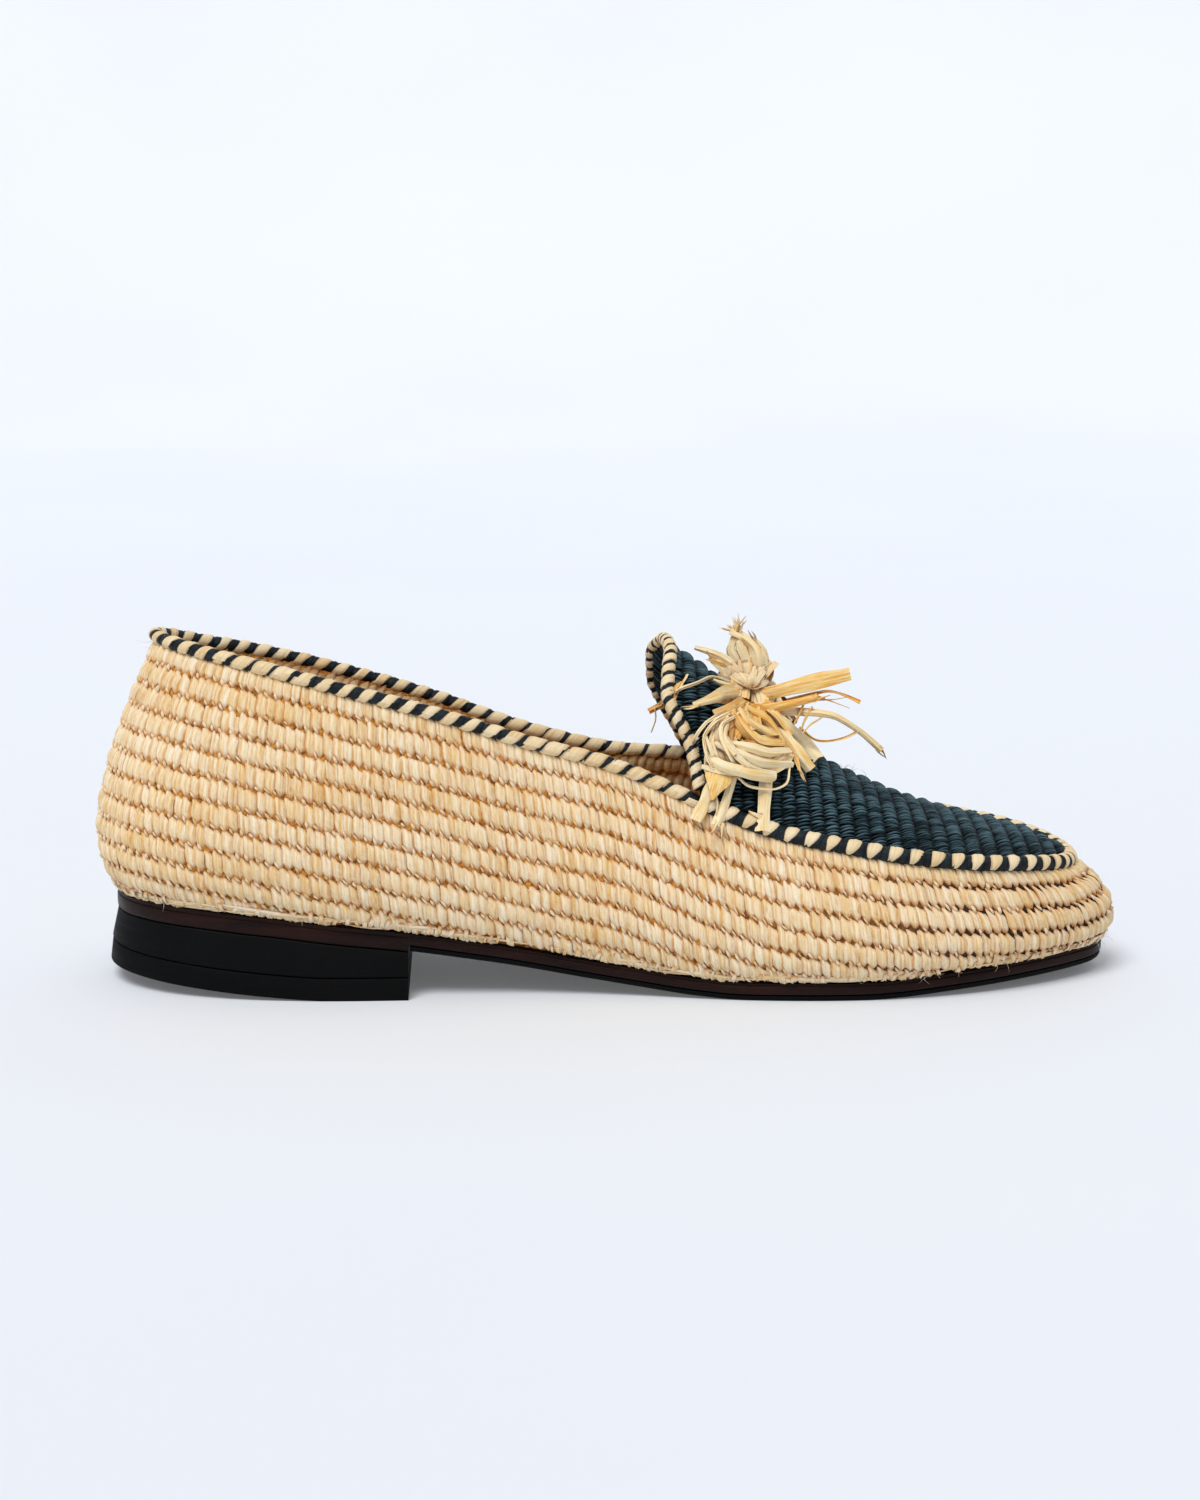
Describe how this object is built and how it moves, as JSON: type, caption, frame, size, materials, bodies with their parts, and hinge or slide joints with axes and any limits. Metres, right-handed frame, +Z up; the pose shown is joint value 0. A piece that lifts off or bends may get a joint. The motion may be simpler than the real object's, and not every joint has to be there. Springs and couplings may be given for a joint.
{
  "type": "raffia loafer",
  "caption": "Left slip-on loafer in natural crocheted raffia, with a dark woven plug and tongue, a raffia pompom, a leather sole and a low stacked heel.",
  "frame": {"origin": "On the ground, under the middle of the shoe's bounding box", "axes": "+X from heel to toe, +Y towards the outer side of the foot, +Z up"},
  "size_m": [0.2628, 0.0864, 0.09],
  "materials": {
    "natural_raffia": "crocheted raffia, satin",
    "dark_raffia": "woven dyed raffia, satin",
    "binding_raffia": "wrapped raffia in natural and dark stripes",
    "pompom_raffia": "loose raffia ribbon, satin",
    "insole_leather": "smooth undyed leather",
    "sole_leather": "burnished dark brown edge",
    "black_rubber": "matt"
  },
  "bodies": {
    "root": {"upper_wall": "natural_raffia", "plug_and_tongue": "dark_raffia", "apron_seam": "binding_raffia", "collar_binding": "binding_raffia", "tongue_binding": "binding_raffia", "pompom": "pompom_raffia", "insole": "insole_leather", "midsole": "sole_leather", "outsole": "black_rubber", "heel_lifts": "black_rubber", "heel_top_piece": "black_rubber"}
  },
  "joints": []
}
